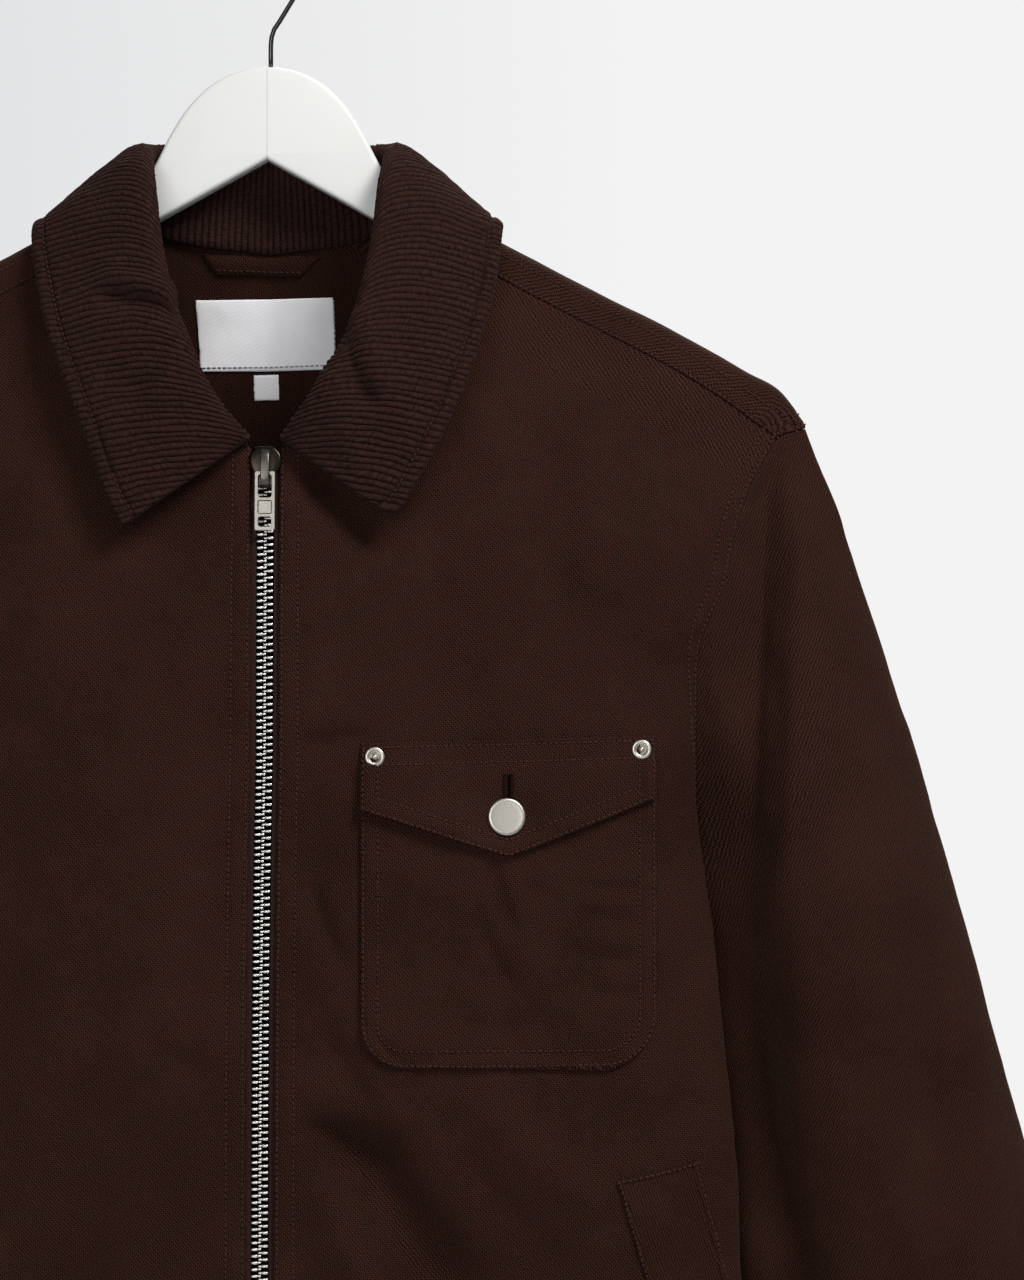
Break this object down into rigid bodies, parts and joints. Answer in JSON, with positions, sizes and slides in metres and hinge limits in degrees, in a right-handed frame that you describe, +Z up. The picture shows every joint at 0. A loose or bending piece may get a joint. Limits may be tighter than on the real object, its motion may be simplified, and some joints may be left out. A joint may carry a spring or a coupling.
{
  "type": "canvas work jacket on a hanger",
  "caption": "Boxy brown canvas work jacket with a corduroy collar, metal zip, flap chest pocket and slanted hand pockets, hung on a white wooden hanger.",
  "frame": {"origin": "inside top of the hanger's hook, where it hangs on a rail", "axes": "+Z up; the front of the jacket faces -Y; the wearer's left side is at +X"},
  "size_m": [0.848, 0.1149, 0.8721],
  "materials": {
    "canvas": "matt",
    "corduroy": "matt",
    "zip_tape": "matt",
    "label": "matt",
    "nickel": "satin",
    "steel": "polished",
    "white_paint": "satin"
  },
  "bodies": {
    "jacket": {"back": "canvas", "front_left": "canvas", "front_right": "canvas", "sleeve_left": "canvas", "sleeve_right": "canvas", "chest_pocket": "canvas", "chest_flap": "canvas", "hand_welt_left": "canvas", "hand_welt_right": "canvas", "neck_loop": "canvas", "collar_under": "canvas", "collar_top": "corduroy", "zip_tape_left": "zip_tape", "zip_tape_right": "zip_tape", "neck_label": "label", "size_tab": "label", "zip_chain": "nickel", "zip_slider": "nickel", "zip_box": "nickel", "chest_button": "nickel", "rivet_inner": "nickel", "rivet_outer": "nickel", "hanger_hook": "steel", "hanger_body": "white_paint"},
    "pull": {"zip_pull": "nickel"}
  },
  "joints": [
    {"name": "pull_hinge", "type": "hinge", "parent": "jacket", "child": "pull", "pos_m": [0.00206, -0.04852, -0.26188], "axis": [-1, 0, 0], "range_deg": [0, 150]}
  ]
}
